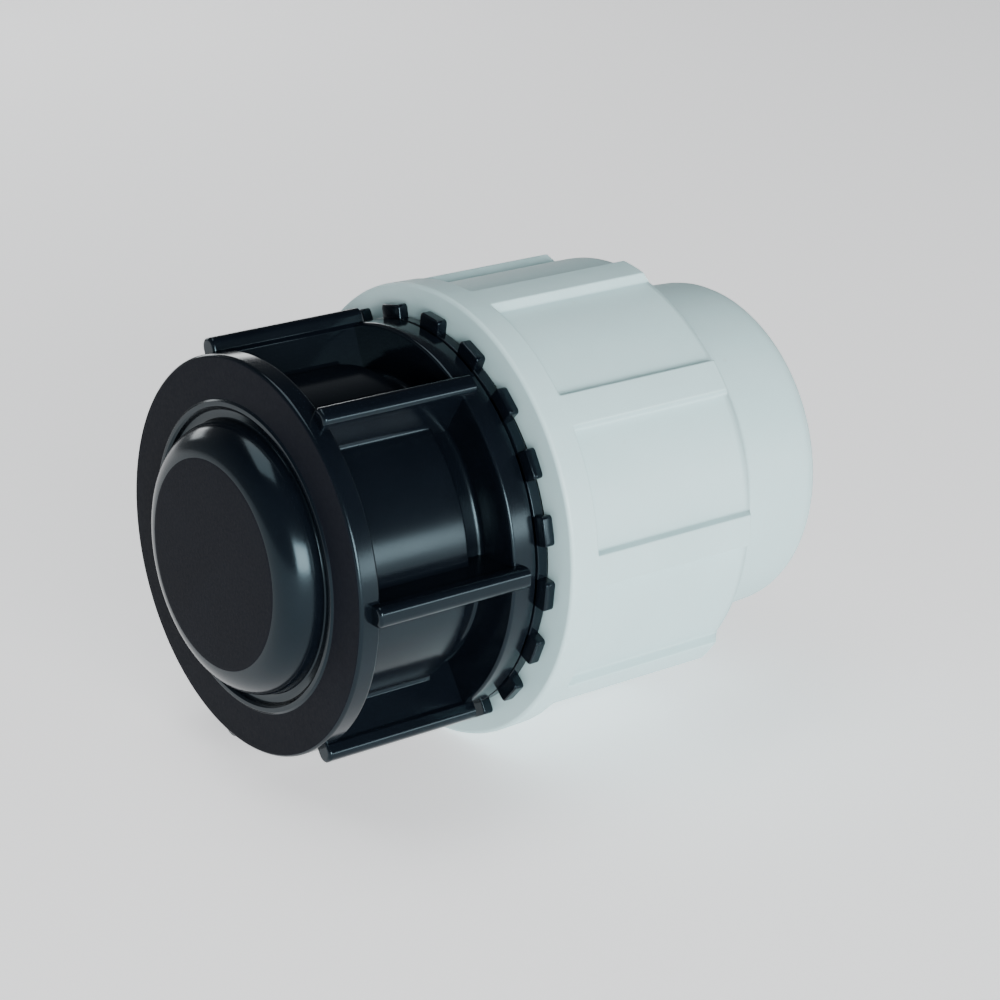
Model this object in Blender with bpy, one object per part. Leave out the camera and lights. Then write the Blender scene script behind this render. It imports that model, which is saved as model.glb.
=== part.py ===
"""Compression end plug for 25 mm polyethylene pipe: a blanked body, its nut and the seal and grip inside.

Units are metres. The +X axis runs along the fitting from the centre of the closed, domed end to the
mouth that takes the pipe, and +Z is up with the fitting lying on its side. Angles round the axis are
measured from +Y towards +Z. The nut is screwed home against the toothed collar of the body.
"""

import math

import bmesh
import bpy
from mathutils import Matrix, Vector

MM = 0.001

# Driving dimensions, in millimetres unless the name says otherwise.
PIPE_R = 12.5  # outside radius of the pipe that the fitting takes
CLEARANCE = 0.3  # least gap between two pieces
SIDES = 48  # facets round a turned piece

DOME_R = 15.8  # closed end: a low dome with a flat top
DOME_HEIGHT = 4.0
DOME_FLAT_R = 11.8
LIP_R = 17.8  # raised lip that rings the dome
GROOVE_R = 16.9
GROOVE_DEPTH = 0.5
FLANGE_R = 23.15
FLANGE_EDGE = 0.4
BARREL_R = 18.9
NECK_R = 17.3  # waist between the barrel and the collar
COLLAR_R = 23.2
COLLAR_GROOVE_R = 22.6

FLANGE_X = DOME_HEIGHT  # stations along the axis from the top of the dome
BARREL_X = FLANGE_X + 2.7
WAIST_X = FLANGE_X + 17.8
COLLAR_X = FLANGE_X + 20.6
COLLAR_GROOVE_X = FLANGE_X + 23.7
TOOTH_X = FLANGE_X + 24.0
COLLAR_END_X = FLANGE_X + 25.4
BODY_END_X = 47.5

WIDE_RIBS = 4  # these stand a wide step apart, and the others share the rest of the turn
CLOSE_RIBS = 3
FIRST_RIB = 70.2  # degrees
WIDE_RIB_STEP = 55.1
RIB_TOP_R = 24.9
RIB_ROOT_R = 16.5
RIB_START_X = FLANGE_X + 1.4
RIB_END_X = FLANGE_X + 21.7
BAR_HALF = 1.25  # the rounded bar on top of each rib, and the thinner web under it
BAR_DEPTH = 1.7
BAR_ROUND = 0.45
WEB_HALF = 0.85

TOOTH_COUNT = 20
TOOTH_PHASE = 169.2
TOOTH_TIP_R = 24.8
TOOTH_ROOT_R = 22.4
TOOTH_HALF = 4.5  # degrees

SOCKET_R = PIPE_R + 0.25  # bore that the pipe slides into, down to the stop
STOP_X = 9.0
STOP_R = 10.9  # the stop stays outside the pipe's bore
CAVITY_X = 3.2  # inner face of the closed end
SEAT_R = 16.5  # counterbore that holds the O-ring
SEAT_X = 40.0
SEAT_CONE_X = 38.5

PITCH = 4.0  # trapezoidal thread
THREAD_ROOT_R = 20.3
THREAD_CREST_R = 21.7
THREAD_BASE_HALF = 1.2  # half width of a ridge where it sinks into its cylinder
THREAD_CREST_HALF = 0.5
THREAD_X = 32.6
THREAD_END_X = 46.1
THREAD_STEPS = 32  # steps in a turn
THREAD_RUNOUT = 6  # steps over which a ridge rises from nothing

O_RING_R = 14.3
O_RING_SECTION_R = 1.85
O_RING_X = 41.6
O_RING_SECTION_SIDES = 12

BUSH_R = PIPE_R + 0.4
BUSH_SPIGOT_R = SEAT_R - CLEARANCE - 0.1
BUSH_X = O_RING_X + O_RING_SECTION_R + CLEARANCE
BUSH_FLANGE_R = 19.4
BUSH_FLANGE_X = BODY_END_X + 0.4
BUSH_END_X = BUSH_FLANGE_X + 2.5

GRIP_X = BUSH_END_X + 0.4
GRIP_END_X = 64.5
GRIP_BIG_R = 18.9
GRIP_SMALL_R = 15.6
GRIP_BARB_R = 12.65
GRIP_BARB_ROOT_R = 13.4
GRIP_BARBS = 4
GRIP_BARB_PITCH = 3.0
GRIP_SLIT_HALF = 1.6

NUT_X = COLLAR_END_X + 0.5
NUT_R = 27.0
NUT_RIM = 3.6  # plain band at the front of the nut
NUT_CONE_X = FLANGE_X + 52.4  # the ribs and panels end on one cone
NUT_CONE_END_X = FLANGE_X + 54.8
NUT_CONE_END_R = 23.6
NUT_NECK_R = 20.8
NUT_NECK_END_R = 20.2
NUT_END_X = FLANGE_X + 70.0
NUT_END_ROUND = 3.0
NUT_EDGE = 0.5
NUT_BORE_R = 22.1  # between the turns of the nut's thread
NUT_CREST_R = 20.7
NUT_THREAD_X = 31.6
NUT_THREAD_END_X = 45.6
NUT_LAND_X = 47.9
NUT_LAND_R = 20.0
NUT_TAPER_X = GRIP_X + 0.2
NUT_TAPER_R = GRIP_BIG_R + 0.4
NUT_TAPER_END_X = GRIP_END_X + 0.5
NUT_TAPER_END_R = GRIP_SMALL_R + 0.3
NUT_MOUTH_R = PIPE_R + 0.7
NUT_FUNNEL_X = 68.5
NUT_FUNNEL_R = 16.6

PANEL_COUNT = 9
PANEL_PHASE = 161.3
PANEL_HALF = 16.0  # degrees
PANEL_R = 25.7
PANEL_FILLET = 0.8


def clear_scene():
    for obj in list(bpy.data.objects):
        bpy.data.objects.remove(obj, do_unlink=True)


def material(name, colour, roughness):
    made = bpy.data.materials.new(name)
    made.use_nodes = True
    shader = made.node_tree.nodes["Principled BSDF"]
    shader.inputs["Base Color"].default_value = (*colour, 1.0)
    shader.inputs["Roughness"].default_value = roughness
    shader.inputs["Metallic"].default_value = 0.0
    made.diffuse_color = (*colour, 1.0)
    return made


def polar(x, radius, degrees):
    """A point, in metres, from its station, radius and angle round the axis."""
    turn = math.radians(degrees)
    return (x * MM, radius * math.cos(turn) * MM, radius * math.sin(turn) * MM)


def new_object(name, mesh_data):
    """An object from a bmesh, with its faces turned outwards."""
    bmesh.ops.recalc_face_normals(mesh_data, faces=mesh_data.faces)
    mesh = bpy.data.meshes.new(name)
    mesh_data.to_mesh(mesh)
    mesh_data.free()
    obj = bpy.data.objects.new(name, mesh)
    bpy.context.scene.collection.objects.link(obj)
    return obj


def arc(centre_x, centre_r, radius, start, end, steps):
    """Points of a round corner in the (station, radius) plane, start and end in degrees."""
    points = []
    for step in range(steps + 1):
        turn = math.radians(start + (end - start) * step / steps)
        points.append((centre_x + radius * math.cos(turn), centre_r + radius * math.sin(turn)))
    return points


def lathe(name, profile, sides=SIDES):
    """Turns a closed profile of (station, radius) points. A point at radius 0 is a pole."""
    work = bmesh.new()
    rings = []
    for x, radius in profile:
        if radius == 0:
            rings.append([work.verts.new(polar(x, 0, 0))])
        else:
            rings.append([work.verts.new(polar(x, radius, 360 * k / sides)) for k in range(sides)])
    for first, second in zip(rings, rings[1:] + rings[:1]):
        for k in range(sides):
            after = (k + 1) % sides
            if len(first) == 1 and len(second) == 1:
                break
            if len(first) == 1:
                work.faces.new((first[0], second[k], second[after]))
            elif len(second) == 1:
                work.faces.new((first[k], second[0], first[after]))
            else:
                work.faces.new((first[k], second[k], second[after], first[after]))
    return new_object(name, work)


def loft(work, sections):
    """Skins a list of equal outlines and caps both ends."""
    rings = [[work.verts.new(point) for point in section] for section in sections]
    for first, second in zip(rings, rings[1:]):
        for k in range(len(first)):
            after = (k + 1) % len(first)
            work.faces.new((first[k], second[k], second[after], first[after]))
    work.faces.new(rings[0])
    work.faces.new(rings[-1])


def thread_ridge(name, root_r, crest_r, start_x, end_x):
    """A helical ridge of trapezoid section that rises out of its cylinder and sinks back at the end."""
    sunk = 0.5 if root_r > crest_r else -0.5
    phase = 360 * (start_x - THREAD_X) / PITCH
    steps = round((end_x - start_x) / PITCH * THREAD_STEPS)
    sections = []
    for step in range(steps + 1):
        rise = min(1.0, step / THREAD_RUNOUT, (steps - step) / THREAD_RUNOUT)
        low = root_r + sunk
        top = low + (crest_r - low) * (0.15 + 0.85 * rise)
        degrees = phase + 360 * step / THREAD_STEPS
        x = start_x + PITCH * step / THREAD_STEPS
        sections.append(
            [
                polar(x - THREAD_BASE_HALF, low, degrees),
                polar(x - THREAD_CREST_HALF, top, degrees),
                polar(x + THREAD_CREST_HALF, top, degrees),
                polar(x + THREAD_BASE_HALF, low, degrees),
            ]
        )
    work = bmesh.new()
    loft(work, sections)
    return new_object(name, work)


def prisms(name, outline, start_x, end_x, angles):
    """Copies of one cross-section, drawn as (sideways, outwards) points, extruded along the axis."""
    work = bmesh.new()
    for angle in angles:
        turn = Matrix.Rotation(math.radians(angle - 90), 3, "X")
        sections = []
        for x in (start_x, end_x):
            sections.append([turn @ Vector((x * MM, -s * MM, r * MM)) for s, r in outline])
        loft(work, sections)
    return new_object(name, work)


def join(target, helper, operation):
    """Adds a helper to a piece, or cuts it away, and keeps the helper out of the model."""
    helper.hide_render = True
    helper.display_type = "WIRE"
    helper.parent = target
    boolean = target.modifiers.new(helper.name, "BOOLEAN")
    boolean.operation = operation
    boolean.object = helper
    boolean.solver = "EXACT"


def finish(obj, look, axis):
    obj.data.materials.append(look)
    obj.data.shade_smooth()
    obj.data.set_sharp_from_angle(angle=math.radians(30))
    obj.parent = axis


def body_profile():
    """Outside of the body from the dome to its mouth, then back down the bore to the closed end."""
    shoulder = DOME_R - DOME_FLAT_R
    dome = arc(shoulder, DOME_FLAT_R, shoulder, 180, 90, 5)
    return (
        [(0, 0)]
        + dome
        + [
            (FLANGE_X + GROOVE_DEPTH, DOME_R),
            (FLANGE_X + GROOVE_DEPTH, GROOVE_R),
            (FLANGE_X, LIP_R),
            (FLANGE_X, FLANGE_R - FLANGE_EDGE),
            (FLANGE_X + FLANGE_EDGE, FLANGE_R),
            (BARREL_X, FLANGE_R),
            (BARREL_X, BARREL_R),
            (WAIST_X, BARREL_R),
            (WAIST_X, NECK_R),
            (COLLAR_X, NECK_R),
            (COLLAR_X, COLLAR_R),
            (COLLAR_GROOVE_X, COLLAR_R),
            (COLLAR_GROOVE_X, COLLAR_GROOVE_R),
            (TOOTH_X, COLLAR_GROOVE_R),
            (TOOTH_X, COLLAR_R),
            (COLLAR_END_X, COLLAR_R),
            (COLLAR_END_X, THREAD_ROOT_R),
            (BODY_END_X, THREAD_ROOT_R),
            (BODY_END_X, SEAT_R),
            (SEAT_X, SEAT_R),
            (SEAT_CONE_X, SOCKET_R),
            (STOP_X, SOCKET_R),
            (STOP_X, STOP_R),
            (CAVITY_X, STOP_R),
            (CAVITY_X, 0),
        ]
    )


def rib_angles():
    last = FIRST_RIB + (WIDE_RIBS - 1) * WIDE_RIB_STEP
    close_step = (360 + FIRST_RIB - last) / (CLOSE_RIBS + 1)
    wide = [FIRST_RIB + WIDE_RIB_STEP * k for k in range(WIDE_RIBS)]
    return wide + [last + close_step * (k + 1) for k in range(CLOSE_RIBS)]


def rib_outline():
    inner = RIB_TOP_R - BAR_DEPTH
    side = [
        (WEB_HALF, RIB_ROOT_R),
        (WEB_HALF, inner - (BAR_HALF - WEB_HALF)),
        (BAR_HALF, inner),
        (BAR_HALF, RIB_TOP_R - BAR_ROUND),
        (BAR_HALF - BAR_ROUND, RIB_TOP_R),
    ]
    return side + [(-s, r) for s, r in reversed(side)]


def tooth_outline():
    half = math.radians(TOOTH_HALF)
    wide = TOOTH_ROOT_R * math.sin(half)
    return [(wide, TOOTH_ROOT_R), (wide, TOOTH_TIP_R), (-wide, TOOTH_TIP_R), (-wide, TOOTH_ROOT_R)]


def make_body():
    body = lathe("body", body_profile())
    ribs = prisms("body_ribs_shape", rib_outline(), RIB_START_X, RIB_END_X, rib_angles())
    tooth_angles = [TOOTH_PHASE + 360 * k / TOOTH_COUNT for k in range(TOOTH_COUNT)]
    tooth_end_x = COLLAR_END_X - 0.1
    teeth = prisms("body_teeth_shape", tooth_outline(), TOOTH_X, tooth_end_x, tooth_angles)
    thread = thread_ridge("body_thread_shape", THREAD_ROOT_R, THREAD_CREST_R, THREAD_X, THREAD_END_X)
    for shape in (ribs, teeth, thread):
        join(body, shape, "UNION")
    return body


def nut_profile():
    """Outside of the nut from its front face to its mouth, then back through its bore."""
    end_round = arc(
        NUT_END_X - NUT_END_ROUND, NUT_NECK_END_R - NUT_END_ROUND, NUT_END_ROUND, 90, 0, 4
    )
    return [
        (NUT_X, NUT_R - NUT_EDGE),
        (NUT_X + NUT_EDGE, NUT_R),
        (NUT_CONE_X, NUT_R),
        (NUT_CONE_END_X, NUT_CONE_END_R),
        (NUT_CONE_END_X + NUT_CONE_END_R - NUT_NECK_R, NUT_NECK_R),
        *end_round,
        (NUT_END_X, NUT_FUNNEL_R),
        (NUT_FUNNEL_X, NUT_MOUTH_R),
        (NUT_TAPER_END_X, NUT_MOUTH_R),
        (NUT_TAPER_END_X, NUT_TAPER_END_R),
        (NUT_TAPER_X, NUT_TAPER_R),
        (NUT_TAPER_X - (NUT_LAND_R - NUT_TAPER_R), NUT_LAND_R),
        (NUT_LAND_X, NUT_LAND_R),
        (NUT_LAND_X, NUT_BORE_R),
        (NUT_X, NUT_BORE_R),
    ]


def panel_cutter():
    """One cutter for the shallow panels between the ribs of the nut, with a fillet round each floor."""
    work = bmesh.new()
    slices = 6
    outside = NUT_R + 1
    start = NUT_X + NUT_RIM
    stations = (
        (start, PANEL_R + PANEL_FILLET, 0.1),
        (start + PANEL_FILLET, PANEL_R, PANEL_FILLET),
        (NUT_END_X, PANEL_R, PANEL_FILLET),
    )
    for k in range(PANEL_COUNT):
        centre = PANEL_PHASE + 360 * k / PANEL_COUNT
        sections = []
        for x, floor, fillet in stations:
            side = floor + fillet
            inner = PANEL_HALF - math.degrees(fillet / PANEL_R)
            section = [polar(x, outside, centre - PANEL_HALF), polar(x, side, centre - PANEL_HALF)]
            for step in range(slices + 1):
                section.append(polar(x, floor, centre - inner + 2 * inner * step / slices))
            section.append(polar(x, side, centre + PANEL_HALF))
            for step in range(slices):
                section.append(polar(x, outside, centre + PANEL_HALF - 2 * PANEL_HALF * step / slices))
            sections.append(section)
        loft(work, sections)
    return new_object("nut_panels_shape", work)


def make_nut():
    nut = lathe("nut", nut_profile())
    join(nut, panel_cutter(), "DIFFERENCE")
    thread = thread_ridge("nut_thread_shape", NUT_BORE_R, NUT_CREST_R, NUT_THREAD_X, NUT_THREAD_END_X)
    thread.rotation_euler.x = math.pi
    join(nut, thread, "UNION")
    return nut


def make_grip_ring():
    """Conical split collet with barbs that lean into the pipe."""
    profile = [(GRIP_X, GRIP_BIG_R), (GRIP_END_X, GRIP_SMALL_R), (GRIP_END_X, GRIP_BARB_ROOT_R)]
    for k in range(GRIP_BARBS):
        x = GRIP_END_X - 0.6 - k * GRIP_BARB_PITCH
        profile.append((x, GRIP_BARB_ROOT_R))
        profile.append((x - 0.4, GRIP_BARB_R))
        profile.append((x - GRIP_BARB_PITCH + 0.4, GRIP_BARB_ROOT_R))
    profile.append((GRIP_X, GRIP_BARB_ROOT_R))
    ring = lathe("grip_ring", profile)
    long = GRIP_END_X - GRIP_X + 4
    slit = bmesh.new()
    place = Matrix.Translation(((GRIP_X + GRIP_END_X) / 2 * MM, 0, GRIP_BIG_R * MM))
    size = Matrix.Diagonal((long * MM, 2 * GRIP_SLIT_HALF * MM, 2 * 9 * MM, 1))
    bmesh.ops.create_cube(slit, size=1, matrix=place @ size)
    join(ring, new_object("grip_ring_slit_shape", slit), "DIFFERENCE")
    return ring


def make_thrust_ring():
    """Flanged bush whose spigot presses the O-ring into its seat."""
    return lathe(
        "thrust_ring",
        [
            (BUSH_X, BUSH_SPIGOT_R),
            (BUSH_FLANGE_X, BUSH_SPIGOT_R),
            (BUSH_FLANGE_X, BUSH_FLANGE_R),
            (BUSH_END_X, BUSH_FLANGE_R),
            (BUSH_END_X, BUSH_R),
            (BUSH_X, BUSH_R),
        ],
    )


def make_o_ring():
    section = arc(O_RING_X, O_RING_R, O_RING_SECTION_R, 0, 360, O_RING_SECTION_SIDES)
    return lathe("o_ring", section[:-1], 36)


def main():
    clear_scene()
    axis = bpy.data.objects.new("fitting_axis", None)
    bpy.context.scene.collection.objects.link(axis)
    black = (0.018, 0.021, 0.024)
    looks = {
        "body": material("black_polypropylene", black, 0.35),
        "nut": material("pale_grey_polypropylene", (0.62, 0.68, 0.69), 0.4),
        "grip_ring": material("white_acetal", (0.82, 0.82, 0.78), 0.35),
        "thrust_ring": material("dark_grey_polypropylene", (0.09, 0.1, 0.11), 0.45),
        "o_ring": material("nitrile_rubber", (0.02, 0.02, 0.02), 0.6),
    }
    pieces = [make_body(), make_nut(), make_grip_ring(), make_thrust_ring(), make_o_ring()]
    for piece in pieces:
        finish(piece, looks[piece.name], axis)


main()
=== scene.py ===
import math

import bmesh
import bpy
from mathutils import Matrix, Vector


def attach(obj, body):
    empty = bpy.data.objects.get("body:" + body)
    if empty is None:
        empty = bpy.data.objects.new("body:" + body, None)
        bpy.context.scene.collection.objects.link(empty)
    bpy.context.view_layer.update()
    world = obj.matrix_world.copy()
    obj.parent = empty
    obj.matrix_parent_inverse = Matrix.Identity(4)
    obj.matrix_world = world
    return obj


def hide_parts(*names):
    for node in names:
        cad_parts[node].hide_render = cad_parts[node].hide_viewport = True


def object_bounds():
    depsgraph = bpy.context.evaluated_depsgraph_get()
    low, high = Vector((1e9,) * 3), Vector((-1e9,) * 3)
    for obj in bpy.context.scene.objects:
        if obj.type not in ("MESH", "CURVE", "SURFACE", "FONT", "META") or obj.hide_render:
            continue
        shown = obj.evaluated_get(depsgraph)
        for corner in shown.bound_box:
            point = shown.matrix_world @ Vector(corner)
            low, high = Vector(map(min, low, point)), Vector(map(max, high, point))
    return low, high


# A compression end plug for plastic pipe, lying on a pale floor. Lengths are in millimetres until a point
# is placed. X runs from the top of the dome to the pipe mouth, and angles go round X from +Y towards +Z.
# A name that ends in _X is a station along X, and one that ends in _R is a radius.

MM = 0.001

FLANGE = 4.0  # station of the flange's outer face, from which the body's outside is measured
DOME_R = 15.8
DOME_ROUND = 4.0
DOME_STEPS = 14
FLANGE_R = 23.15
BARREL_X = FLANGE + 2.7
BARREL_R = 18.9
WAIST_X = FLANGE + 17.8
WAIST_R = 17.3
COLLAR_X = FLANGE + 20.6
COLLAR_R = 23.2
COLLAR_GROOVE_R = 22.6
TOOTH_X = FLANGE + 24.0
TOOTH_END_X = FLANGE + 25.35
COLLAR_END_X = FLANGE + 25.4
BODY_END_X = 47.5
SEAT_X = 40.0  # counterbore that holds the O-ring
SEAT_R = 16.5
SOCKET_R = 12.75
STOP_X = 9.0
STOP_R = 10.9
CAVITY_X = 3.2  # inner face of the closed end

WIDE_RIBS = 4  # these stand a wide step apart, and the others share the rest of the turn
CLOSE_RIBS = 3
FIRST_RIB = 70.2  # degrees
WIDE_RIB_STEP = 55.1
RIB_TOP = 24.9
RIB_WEB_ROOT_R = 16.6
BAR_DEPTH = 1.7  # the rounded bar on top of each rib

TEETH = 20
TOOTH_PHASE = 169.2  # degrees
TOOTH_ROOT_R = 22.4
TOOTH_TIP_R = 24.8
TOOTH_MIDDLE_R = 24  # where a tooth's width in degrees is turned into a length

PITCH = 4.0
THREAD_X = 32.6
THREAD_END_X = 46.1
THREAD_ROOT_R = 20.3
THREAD_CREST_R = 21.7
THREAD_SINK = 0.45  # how far a ridge starts under its cylinder
THREAD_RUNOUT = 18  # steps over which a ridge rises from nothing
STEPS_PER_TURN = 96

NUT_FRONT = 29.9
NUT_R = 27.0
NUT_MOUTH_X = 74.0
NUT_MOUTH_R = 16.6
NUT_LIP_R = 22.6
NUT_THREAD_ROOT_R = 22.1
NUT_THREAD_CREST_R = 20.7
NUT_RIBS = 9
NUT_RIB_PHASE = 141.3  # degrees
NUT_RIB_HALF = 1.9
PANEL_DEPTH = 1.3
PANEL_X = 33.5
NUT_END_X = 56.4

RING_SIDES = 160  # facets round the pieces inside
GRIP_GAP_HALF = 1.6
O_RING_X = 41.6
O_RING_R = 14.3
O_RING_SECTION_R = 1.85


def polar(x, radius, degrees):
    turn = math.radians(degrees)
    return Vector((x * MM, radius * math.cos(turn) * MM, radius * math.sin(turn) * MM))


def rounded(corners, steps=4, closed=True):
    """An outline of (a, b, radius) corners with an arc of that radius at each one."""
    points = []
    count = len(corners)
    for k, (a, b, radius) in enumerate(corners):
        here = Vector((a, b))
        if radius == 0 or (not closed and k in (0, count - 1)):
            points.append((a, b))
            continue
        before = (Vector(corners[k - 1][:2]) - here).normalized()
        after = (Vector(corners[(k + 1) % count][:2]) - here).normalized()
        half = before.angle(after) / 2
        centre = here + (before + after).normalized() * radius / math.sin(half)
        first = here + before * radius / math.tan(half) - centre
        last = here + after * radius / math.tan(half) - centre
        sweep = first.angle_signed(last)
        for step in range(steps + 1):
            arm = first.copy()
            arm.rotate(Matrix.Rotation(-sweep * step / steps, 2))
            points.append(tuple(centre + arm))
    return points


def skin(work, rings, closed_round=True, closed_along=False):
    """Quads between rings of equal length. A ring of one vertex is a pole."""
    pairs = list(zip(rings, rings[1:]))
    if closed_along:
        pairs.append((rings[-1], rings[0]))
    for first, second in pairs:
        count = max(len(first), len(second))
        for k in range(count if closed_round else count - 1):
            after = (k + 1) % count
            if len(first) == 1:
                work.faces.new((first[0], second[k], second[after]))
            elif len(second) == 1:
                work.faces.new((first[k], second[0], first[after]))
            else:
                work.faces.new((first[k], second[k], second[after], first[after]))


def loft(work, rings):
    """A closed solid through rings, with a flat end on the first and the last."""
    skin(work, rings)
    work.faces.new(rings[0])
    work.faces.new(rings[-1])


def piece(name, work, body, material, node=None, sharp=50):
    """Turns a bmesh into a piece that rides on a body and, where a node is given, stands for it."""
    bmesh.ops.recalc_face_normals(work, faces=work.faces)
    mesh = bpy.data.meshes.new(name)
    work.to_mesh(mesh)
    work.free()
    mesh.materials.append(material)
    mesh.shade_smooth()
    mesh.set_sharp_from_angle(angle=math.radians(sharp))
    made = bpy.data.objects.new(name, mesh)
    bpy.context.scene.collection.objects.link(made)
    weighted = made.modifiers.new("even_shading", "WEIGHTED_NORMAL")
    weighted.keep_sharp = True
    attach(made, body)
    if node:
        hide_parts(node)
    return made


def lathe(profile, sides, start=0.0, sweep=360.0):
    """A turned solid. Less than a full sweep leaves a gap with flat ends."""
    work = bmesh.new()
    whole = sweep == 360.0
    count = sides if whole else sides + 1
    rings = []
    for x, radius in profile:
        if radius == 0:
            rings.append([work.verts.new(polar(x, 0, 0))])
        else:
            turns = [start + sweep * k / sides for k in range(count)]
            rings.append([work.verts.new(polar(x, radius, turn)) for turn in turns])
    poled = len(rings[0]) == 1
    skin(work, rings, closed_round=whole, closed_along=not poled)
    if not whole:
        work.faces.new([ring[0] for ring in rings])
        work.faces.new([ring[-1] for ring in rings])
    return work


def ridge(root_r, crest_r, start_x, end_x, turn):
    """A rounded helical thread ridge that rises out of its cylinder and sinks back at its end."""
    work = bmesh.new()
    steps = round((end_x - start_x) / PITCH * STEPS_PER_TURN)
    out = 1 if crest_r > root_r else -1
    height = abs(crest_r - root_r)
    section = [(-1.2, -0.5), (-1.0, 0.0), (-0.72, 0.55), (-0.58, 0.85), (-0.4, 1.0)]
    section = section + [(-x, h) for x, h in reversed(section)]
    rings = []
    for step in range(steps + 1):
        rise = min(1.0, step / THREAD_RUNOUT, (steps - step) / THREAD_RUNOUT)
        rise = rise * rise * (3 - 2 * rise)
        degrees = turn + 360 * (start_x - THREAD_X) / PITCH + 360 * step / STEPS_PER_TURN
        ring = []
        for x, h in section:
            level = -0.5
            if h >= 0:
                level = (h * height + THREAD_SINK) * (0.2 + 0.8 * rise) - THREAD_SINK
            place = polar(start_x + PITCH * step / STEPS_PER_TURN + x, root_r + out * level, degrees)
            ring.append(work.verts.new(place))
        rings.append(ring)
    loft(work, rings)
    return work


def nodes_of(name):
    material = bpy.data.materials.new(name)
    material.use_nodes = True
    tree = material.node_tree
    return material, tree.nodes, tree.links, tree.nodes["Principled BSDF"]


def add(nodes, kind, **settings):
    node = nodes.new(kind)
    for key, value in settings.items():
        setattr(node, key, value)
    return node


def noise(nodes, links, coords, scale, detail=3.0, rough=0.55):
    node = add(nodes, "ShaderNodeTexNoise")
    node.inputs["Scale"].default_value = scale
    node.inputs["Detail"].default_value = detail
    node.inputs["Roughness"].default_value = rough
    links.new(coords, node.inputs["Vector"])
    return node.outputs["Fac"]


def remap(nodes, links, value, low, high, to_low, to_high):
    node = add(nodes, "ShaderNodeMapRange")
    node.inputs["From Min"].default_value = low
    node.inputs["From Max"].default_value = high
    node.inputs["To Min"].default_value = to_low
    node.inputs["To Max"].default_value = to_high
    links.new(value, node.inputs["Value"])
    return node.outputs["Result"]


def maths(nodes, links, operation, first, second):
    node = add(nodes, "ShaderNodeMath", operation=operation)
    for socket, value in zip(node.inputs, (first, second)):
        if isinstance(value, (int, float)):
            socket.default_value = value
        else:
            links.new(value, socket)
    return node.outputs[0]


def blend_colour(nodes, links, factor, first, second):
    node = add(nodes, "ShaderNodeMix", data_type="RGBA")
    links.new(factor, node.inputs["Factor"])
    for socket, value in ((node.inputs[6], first), (node.inputs[7], second)):
        if isinstance(value, tuple):
            socket.default_value = (*value, 1.0)
        else:
            links.new(value, socket)
    return node.outputs[2]


def bump(nodes, links, shader, height, distance, strength=1.0):
    node = add(nodes, "ShaderNodeBump")
    node.inputs["Distance"].default_value = distance
    node.inputs["Strength"].default_value = strength
    links.new(height, node.inputs["Height"])
    links.new(node.outputs["Normal"], shader.inputs["Normal"])


def black_plastic():
    """Glossy black moulded polypropylene with faint flow marks."""
    material, nodes, links, shader = nodes_of("black_moulded_plastic")
    coords = add(nodes, "ShaderNodeTexCoord").outputs["Object"]
    cloud = noise(nodes, links, coords, 140.0, 4.0)
    grain = noise(nodes, links, coords, 2600.0, 4.0, 0.7)
    flow = noise(nodes, links, coords, 60.0, 2.0)
    tone = blend_colour(nodes, links, cloud, (0.0015, 0.0024, 0.0042), (0.0035, 0.0052, 0.0085))
    links.new(tone, shader.inputs["Base Color"])
    links.new(remap(nodes, links, flow, 0.3, 0.7, 0.13, 0.22), shader.inputs["Roughness"])
    ripple = maths(nodes, links, "MULTIPLY", flow, 1.5)
    fine = maths(nodes, links, "MULTIPLY", grain, 0.08)
    bump(nodes, links, shader, maths(nodes, links, "ADD", ripple, fine), 0.00006, 0.6)
    shader.inputs["IOR"].default_value = 1.49
    shader.inputs["Specular IOR Level"].default_value = 0.3
    shader.inputs["Specular Tint"].default_value = (0.6, 0.88, 1.0, 1.0)
    return material


def dull_black_plastic():
    """The finely grained, duller black of the closed end."""
    material, nodes, links, shader = nodes_of("black_grained_plastic")
    coords = add(nodes, "ShaderNodeTexCoord").outputs["Object"]
    cloud = noise(nodes, links, coords, 120.0, 4.0)
    grain = noise(nodes, links, coords, 2600.0, 4.0, 0.7)
    tone = blend_colour(nodes, links, cloud, (0.0028, 0.0038, 0.007), (0.005, 0.0065, 0.011))
    links.new(tone, shader.inputs["Base Color"])
    links.new(remap(nodes, links, grain, 0.3, 0.7, 0.42, 0.55), shader.inputs["Roughness"])
    bump(nodes, links, shader, grain, 0.00003, 0.6)
    shader.inputs["Specular IOR Level"].default_value = 0.05
    return material


def grey_plastic():
    """Satin pale blue-grey moulded polypropylene with faint mottling and a fine grain."""
    material, nodes, links, shader = nodes_of("pale_grey_moulded_plastic")
    coords = add(nodes, "ShaderNodeTexCoord").outputs["Object"]
    cloud = noise(nodes, links, coords, 90.0, 4.0)
    grain = noise(nodes, links, coords, 2200.0, 3.0, 0.6)
    speck = noise(nodes, links, coords, 700.0, 2.0)
    tone = blend_colour(nodes, links, cloud, (0.43, 0.62, 0.635), (0.5, 0.695, 0.715))
    spot = remap(nodes, links, speck, 0.72, 0.8, 0.0, 0.25)
    links.new(blend_colour(nodes, links, spot, tone, (0.42, 0.47, 0.47)), shader.inputs["Base Color"])
    links.new(remap(nodes, links, grain, 0.3, 0.7, 0.36, 0.5), shader.inputs["Roughness"])
    swell = maths(nodes, links, "MULTIPLY", cloud, 2.0)
    fine = maths(nodes, links, "MULTIPLY", grain, 0.25)
    bump(nodes, links, shader, maths(nodes, links, "ADD", swell, fine), 0.00005, 0.5)
    shader.inputs["IOR"].default_value = 1.49
    shader.inputs["Subsurface Weight"].default_value = 0.12
    shader.inputs["Subsurface Radius"].default_value = (0.8, 1.0, 0.9)
    shader.inputs["Subsurface Scale"].default_value = 0.001
    return material


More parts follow.
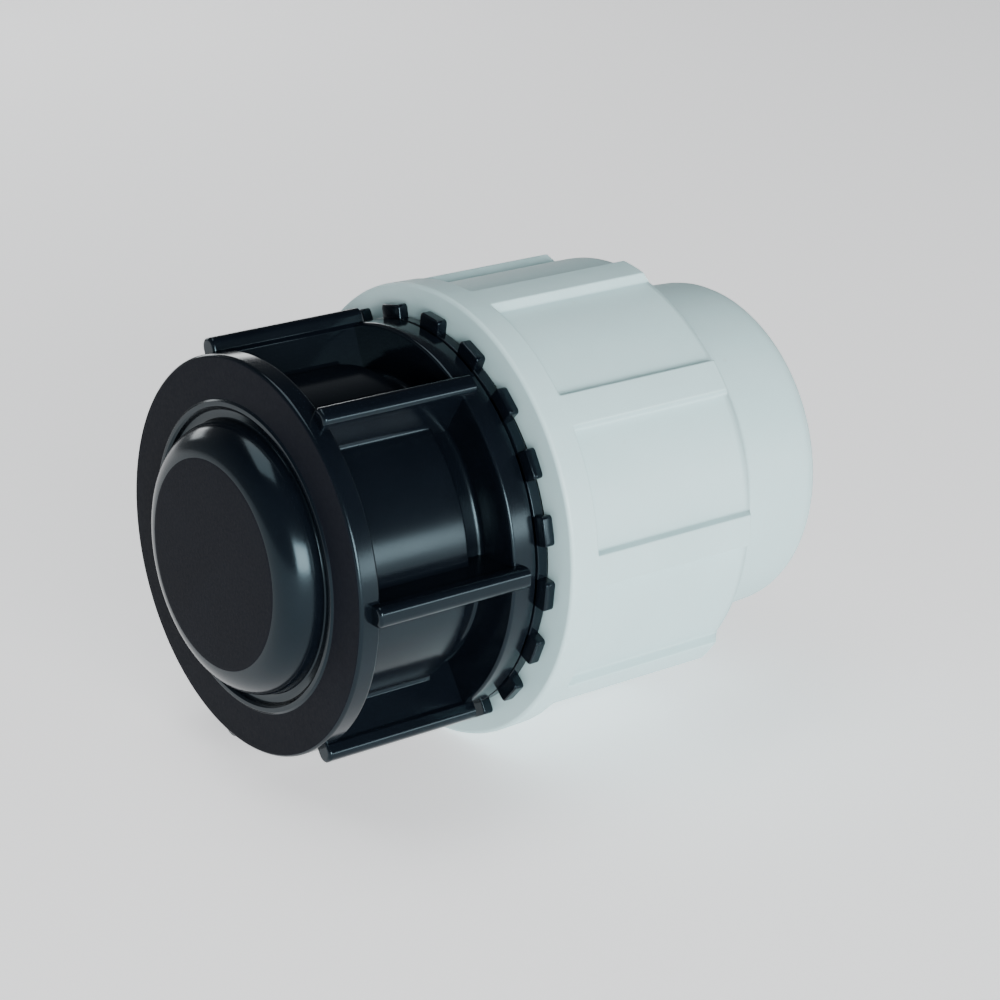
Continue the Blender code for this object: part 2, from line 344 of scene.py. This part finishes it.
def plain_plastic(name, low, high, rough, grain_scale):
    """Moulded plastic or rubber with a soft mottle, a fine grain and an uneven sheen."""
    material, nodes, links, shader = nodes_of(name)
    coords = add(nodes, "ShaderNodeTexCoord").outputs["Object"]
    cloud = noise(nodes, links, coords, 160.0, 4.0)
    grain = noise(nodes, links, coords, grain_scale, 3.0, 0.6)
    links.new(blend_colour(nodes, links, cloud, low, high), shader.inputs["Base Color"])
    links.new(remap(nodes, links, grain, 0.3, 0.7, rough - 0.06, rough + 0.08), shader.inputs["Roughness"])
    bump(nodes, links, shader, grain, 0.00002, 0.5)
    return material


def body_profile():
    corners = [
        (FLANGE + 0.5, 15.75, 0.25),
        (FLANGE + 0.5, 16.9, 0.3),
        (FLANGE, 17.1, 0.1),
        (FLANGE - 0.22, 17.35, 0.1),
        (FLANGE - 0.22, 17.85, 0.1),
        (FLANGE, 18.1, 0.15),
        (FLANGE, FLANGE_R, 0.45),
        (BARREL_X, FLANGE_R, 0.4),
        (BARREL_X, BARREL_R, 0.8),
        (WAIST_X, BARREL_R, 0.35),
        (WAIST_X, WAIST_R, 0.5),
        (COLLAR_X, WAIST_R, 0.6),
        (COLLAR_X, COLLAR_R, 0.4),
        (FLANGE + 23.7, COLLAR_R, 0.12),
        (FLANGE + 23.7, COLLAR_GROOVE_R, 0.0),
        (TOOTH_X, COLLAR_GROOVE_R, 0.0),
        (TOOTH_X, COLLAR_R, 0.12),
        (COLLAR_END_X, COLLAR_R, 0.2),
        (COLLAR_END_X, THREAD_ROOT_R, 0.4),
        (BODY_END_X, THREAD_ROOT_R, 0.6),
        (BODY_END_X, SEAT_R, 0.4),
        (SEAT_X, SEAT_R, 0.4),
        (38.5, SOCKET_R, 0.3),
        (STOP_X, SOCKET_R, 0.3),
        (STOP_X, STOP_R, 0.3),
        (CAVITY_X, STOP_R, 1.0),
    ]
    dome = [(0, 5, 0), (0, DOME_R, DOME_ROUND)] + corners[:1]
    outside = rounded(dome, DOME_STEPS, closed=False)[1:-1]
    rest = rounded([(FLANGE - 0.2, DOME_R, 0)] + corners + [(CAVITY_X, 0, 0)], 4, closed=False)[1:]
    return [(0, 0), (0, 6.0)] + outside + rest


def build_body(material, dull):
    shell = piece("body_moulding", lathe(body_profile(), 224), "body", material, "body")
    shell.data.materials.append(dull)
    for face in shell.data.polygons:
        radius = math.hypot(face.center.y, face.center.z) / MM
        faces_out = face.normal.x < -0.9 and face.center.x < (FLANGE + 0.3) * MM
        if faces_out and not 12 < radius < 18.1:  # the dome's shoulder, groove and lip stay glossy
            face.material_index = 1
    inner = RIB_TOP - BAR_DEPTH
    foot = [(2.6, 18.2, 0.0), (0.9, 19.05, 0.9), (0.8, 20.2, 0.0)]
    foot = rounded(foot + [(-s, r, e) for s, r, e in reversed(foot)], 6)
    half = [
        (0.95, RIB_WEB_ROOT_R, 0.0),
        (0.85, inner - 0.45, 0.25),
        (1.2, inner, 0.2),
        (1.25, RIB_TOP, 0.9),
    ]
    outline = rounded(half + [(-s, r, e) for s, r, e in reversed(half)], 6)
    for k, angle in enumerate(rib_angles()):
        work = bmesh.new()
        turn = Matrix.Rotation(math.radians(angle - 90), 3, "X")
        rings = []
        for x, inset in rib_stations():
            ring = []
            for s, r in outline:
                low = r - inset if r > inner else r
                side = s - math.copysign(min(inset, abs(s)), s)
                ring.append(work.verts.new(turn @ Vector((x * MM, -side * MM, low * MM))))
            rings.append(ring)
        loft(work, rings)
        rings = []
        for x in (FLANGE + 2.5, FLANGE + 17.4):
            places = [turn @ Vector((x * MM, -s * MM, r * MM)) for s, r in foot]
            rings.append([work.verts.new(place) for place in places])
        loft(work, rings)
        piece(f"body_rib_{k + 1}", work, "body", material, "body")
    build_teeth(material)
    thread = ridge(THREAD_ROOT_R, THREAD_CREST_R, THREAD_X, THREAD_END_X, 0)
    piece("body_thread", thread, "body", material, "body")


def rib_angles():
    """Four ribs a wide step apart, and three more spread evenly over the rest of the turn."""
    last = FIRST_RIB + (WIDE_RIBS - 1) * WIDE_RIB_STEP
    close_step = (360 + FIRST_RIB - last) / (CLOSE_RIBS + 1)
    wide = [FIRST_RIB + WIDE_RIB_STEP * k for k in range(WIDE_RIBS)]
    return wide + [last + close_step * (k + 1) for k in range(CLOSE_RIBS)]


def rib_stations():
    """Stations along a rib with the amount its section shrinks there, which rounds the free end."""
    start = FLANGE + 1.4
    soft = 0.4
    stations = [(start + soft * (1 - math.cos(t)), soft * (1 - math.sin(t))) for t in quarter(4)]
    return stations + [(FLANGE + 21.7, 0.0)]


def quarter(steps):
    return [math.radians(90 * k / steps) for k in range(steps + 1)]


def build_teeth(material):
    work = bmesh.new()
    for k in range(TEETH):
        centre = TOOTH_PHASE + 360 * k / TEETH
        half = [(-4.4, TOOTH_ROOT_R, 0), (-4.1, TOOTH_TIP_R, 0.4)]
        corners = half + [(-a, r, e) for a, r, e in reversed(half)]
        scale = math.radians(1) * TOOTH_MIDDLE_R
        outline = rounded([(a * scale, r, e) for a, r, e in corners], 4)
        rings = []
        soft = 0.2
        shrink = [(soft * (1 - math.cos(t)), soft * (1 - math.sin(t))) for t in quarter(3)]
        ends = [(TOOTH_X + step, inset) for step, inset in shrink]
        ends += [(TOOTH_END_X - step, inset) for step, inset in reversed(shrink)]
        for x, inset in ends:
            ring = []
            for s, r in outline:
                side = (s - math.copysign(min(inset, abs(s)), s)) / scale
                ring.append(work.verts.new(polar(x, r - (inset if r > 23 else 0), centre + side)))
            rings.append(ring)
        loft(work, rings)
    piece("body_teeth", work, "body", material, "body")


def nut_sides():
    """(angle within one rib's share, how much of the rib's height is left there) across that share."""
    top_round, foot_round = 0.25, 0.3
    per_mm = 1 / (math.radians(1) * 26.4)
    half = [(0.0, 1.0), (0.5, 1.0), (1.0, 1.0)]
    for t in quarter(5):
        top = 1 - top_round / PANEL_DEPTH * (1 - math.cos(t))
        half.append((NUT_RIB_HALF - top_round + top_round * math.sin(t), top))
    for t in quarter(6):
        foot = foot_round / PANEL_DEPTH * (1 - math.sin(t))
        half.append((NUT_RIB_HALF + 0.12 + foot_round * (1 - math.cos(t)), foot))
    edge = half[-1][0]
    share = 20 / per_mm
    steps = 9
    half += [(edge + (share - edge) * k / steps, 0.0) for k in range(1, steps + 1)]
    right = [(s * per_mm, h) for s, h in half]
    left = [(-a, h) for a, h in reversed(right[1:-1])]
    return left + right


def nut_outside():
    """(station, envelope radius) pairs along the outside of the nut."""
    corners = [
        (NUT_FRONT, NUT_LIP_R, 0),
        (NUT_FRONT, NUT_R, 0.5),
        (NUT_END_X, NUT_R, 0.3),
        (58.8, 23.6, 0.8),
        (61.6, 20.8, 1.2),
        (NUT_MOUTH_X, 20.2, 2.8),
        (NUT_MOUTH_X, NUT_MOUTH_R, 0),
    ]
    points = rounded(corners, 6, closed=False)
    dense = []
    for first, second in zip(points, points[1:]):
        length = math.dist(first, second)
        at_panel = PANEL_X - 0.3 < second[0] < PANEL_X + 2
        at_end = NUT_END_X - 0.5 < second[0] < NUT_END_X + 2
        count = max(1, round(length / (0.16 if at_panel or at_end else 1.5)))
        if first[0] < PANEL_X < second[0]:
            dense += nut_straight(first, second)
            continue
        dense += [tuple(Vector(first).lerp(Vector(second), k / count)) for k in range(count)]
    return dense + [points[-1]]


def nut_straight(first, second):
    """The long straight of the nut, with close stations only at the front ends of the panels."""
    stations = [first[0]]
    stations += [PANEL_X - 0.4 + 0.12 * k for k in range(18)]
    stations += [PANEL_X + 3 + 2.5 * k for k in range(int((second[0] - PANEL_X - 3) / 2.5))]
    rise, run = second[1] - first[1], second[0] - first[0]
    return [(x, first[1] + rise * (x - first[0]) / run) for x in stations]


def panel_end(x):
    """How much of the rim's height is left at a station: 1 on the rim, 0 over the panels."""
    top_round, foot_round = 0.25, 0.4
    if x <= PANEL_X:
        return 1.0
    if x <= PANEL_X + top_round:
        return 1 - (top_round - math.sqrt(max(0.0, top_round ** 2 - (x - PANEL_X) ** 2))) / PANEL_DEPTH
    past = min(foot_round, x - PANEL_X - top_round)
    wall = PANEL_DEPTH - top_round
    return wall / PANEL_DEPTH * (1 - math.sqrt(max(0.0, 1 - (1 - past / foot_round) ** 2)))


def soft_min(a, b, width):
    h = max(width - abs(a - b), 0) / width
    return min(a, b) - h * h * width / 4


def build_nut(material):
    work = bmesh.new()
    share = nut_sides()
    sides = []
    for k in range(NUT_RIBS):
        sides += [(NUT_RIB_PHASE + 360 * k / NUT_RIBS + a, h) for a, h in share]
    rings = []
    for x, envelope in nut_outside():
        left = panel_end(x)
        ring = []
        for degrees, height in sides:
            floor = NUT_R - PANEL_DEPTH * (1 - height) * (1 - left)
            radius = soft_min(envelope, floor, 0.3) if x > 33 else envelope  # the rim stays full
            ring.append(work.verts.new(polar(x, radius, degrees)))
        rings.append(ring)
    bore = [
        (NUT_MOUTH_X, NUT_MOUTH_R, 0),
        (NUT_MOUTH_X - 0.4, NUT_MOUTH_R - 0.4, 0),
        (68.5, 13.2, 0.6),
        (65.0, 13.2, 0.2),
        (65.0, 15.9, 0.3),
        (51.0, 19.3, 0.3),
        (50.3, 20.0, 0.2),
        (47.9, 20.0, 0.2),
        (47.9, NUT_THREAD_ROOT_R, 0.2),
        (NUT_FRONT + 0.6, NUT_THREAD_ROOT_R, 0.2),
        (NUT_FRONT, NUT_LIP_R, 0),
    ]
    for x, radius in rounded(bore, 3, closed=False)[1:-1]:
        rings.append([work.verts.new(polar(x, radius, degrees)) for degrees, height in sides])
    skin(work, rings, closed_along=True)
    piece("nut_moulding", work, "nut", material, "nut")
    thread = ridge(NUT_THREAD_ROOT_R, NUT_THREAD_CREST_R, 31.6, 45.6, 180)
    piece("nut_thread", thread, "nut", material, "nut")


def build_inside(white, dark, rubber):
    grip = [(50.8, 18.9, 0.3), (64.5, 15.6, 0.4), (64.5, 13.4, 0.2)]
    for k in range(4):
        x = 63.9 - 3.0 * k
        grip += [(x, 13.4, 0.05), (x - 0.4, 12.65, 0.05), (x - 2.6, 13.4, 0.05)]
    grip.append((50.8, 13.4, 0.3))
    gap = math.degrees(math.asin(GRIP_GAP_HALF / 16))
    work = lathe(rounded(grip, 3), RING_SIDES, 90 + gap, 360 - 2 * gap)
    piece("grip_ring_moulding", work, "grip_ring", white, "grip_ring")
    bush = [
        (43.75, 16.1, 0.3),
        (47.9, 16.1, 0.2),
        (47.9, 19.4, 0.3),
        (50.4, 19.4, 0.3),
        (50.4, 12.9, 0.3),
        (43.75, 12.9, 0.3),
    ]
    work = lathe(rounded(bush, 4), RING_SIDES)
    piece("thrust_ring_moulding", work, "thrust_ring", dark, "thrust_ring")
    section = []
    for k in range(24):
        t = math.radians(15 * k)
        along, across = O_RING_SECTION_R * math.cos(t), O_RING_SECTION_R * math.sin(t)
        section.append((O_RING_X + along, O_RING_R + across))
    piece("o_ring_seal", lathe(section, RING_SIDES), "body", rubber, "o_ring")


def build_stage(low):
    work = bmesh.new()
    bmesh.ops.create_grid(work, x_segments=1, y_segments=1, size=3.0)
    mesh = bpy.data.meshes.new("floor")
    work.to_mesh(mesh)
    work.free()
    floor = bpy.data.objects.new("floor", mesh)
    floor.location.z = low
    bpy.context.scene.collection.objects.link(floor)
    material, nodes, links, shader = nodes_of("pale_floor")
    shader.inputs["Base Color"].default_value = (0.9, 0.9, 0.9, 1.0)
    shader.inputs["Roughness"].default_value = 0.8
    shader.inputs["Emission Color"].default_value = (0.97, 0.98, 1.0, 1.0)
    shader.inputs["Emission Strength"].default_value = 0.7
    mesh.materials.append(material)
    world = bpy.data.worlds.new("studio")
    world.use_nodes = True
    nodes, links = world.node_tree.nodes, world.node_tree.links
    coords = add(nodes, "ShaderNodeTexCoord").outputs["Generated"]
    split = add(nodes, "ShaderNodeSeparateXYZ")
    links.new(coords, split.inputs[0])
    height = remap(nodes, links, split.outputs["Z"], 0.1, 0.8, 0.0, 1.0)
    sky = blend_colour(nodes, links, height, (0.9, 0.96, 1.0), (0.12, 0.13, 0.15))
    links.new(sky, nodes["Background"].inputs["Color"])
    nodes["Background"].inputs["Strength"].default_value = 0.3
    bpy.context.scene.world = world


def light(name, place, aim, width, height, watts):
    """A rectangular lamp. Its place and size are in metres."""
    lamp = bpy.data.lights.new(name, "AREA")
    lamp.shape = "RECTANGLE"
    lamp.size = width
    lamp.size_y = height
    lamp.energy = watts
    made = bpy.data.objects.new(name, lamp)
    made.location = place
    made.rotation_mode = "QUATERNION"
    made.rotation_quaternion = (Vector(aim) - Vector(place)).to_track_quat("-Z", "Y")
    bpy.context.scene.collection.objects.link(made)


def build_camera():
    data = bpy.data.cameras.new("camera")
    data.lens = 108.0
    data.sensor_width = 36.0
    camera = bpy.data.objects.new("camera", data)
    azimuth, elevation = math.radians(-37.59), math.radians(19.26)
    level = math.cos(elevation)
    back = Vector((math.sin(azimuth) * level, -math.cos(azimuth) * level, math.sin(elevation)))
    camera.location = (-0.16569, -0.26788, 0.11717)
    camera.rotation_mode = "QUATERNION"
    camera.rotation_quaternion = (-back).to_track_quat("-Z", "Y")
    bpy.context.scene.collection.objects.link(camera)
    bpy.context.scene.camera = camera


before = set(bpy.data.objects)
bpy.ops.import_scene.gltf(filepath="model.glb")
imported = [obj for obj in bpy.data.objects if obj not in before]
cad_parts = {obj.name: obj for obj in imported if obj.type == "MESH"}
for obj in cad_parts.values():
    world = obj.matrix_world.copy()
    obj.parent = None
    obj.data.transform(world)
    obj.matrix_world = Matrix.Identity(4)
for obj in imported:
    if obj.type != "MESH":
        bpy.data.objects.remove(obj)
cad_low, cad_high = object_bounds()

build_body(black_plastic(), dull_black_plastic())
build_nut(grey_plastic())
build_inside(
    plain_plastic("white_acetal_plastic", (0.72, 0.72, 0.68), (0.82, 0.82, 0.78), 0.32, 1800.0),
    plain_plastic("dark_grey_plastic", (0.06, 0.068, 0.075), (0.095, 0.105, 0.115), 0.42, 2000.0),
    plain_plastic("nitrile_rubber_black", (0.012, 0.012, 0.012), (0.024, 0.024, 0.024), 0.55, 2600.0),
)
build_stage(cad_low.z)
centre = (cad_low + cad_high) / 2
light("key", (-0.155, -0.506, 0.1), centre, 0.36, 0.2, 5.0)
light("overhead", (-0.05, 0.1, 0.6), centre, 0.5, 0.3, 1.6)
light("side", (0.42, -0.56, 0.03), centre, 0.3, 0.12, 1.1)
light("back", (0.12, 0.55, 0.16), centre, 0.5, 0.1, 0.7)
build_camera()
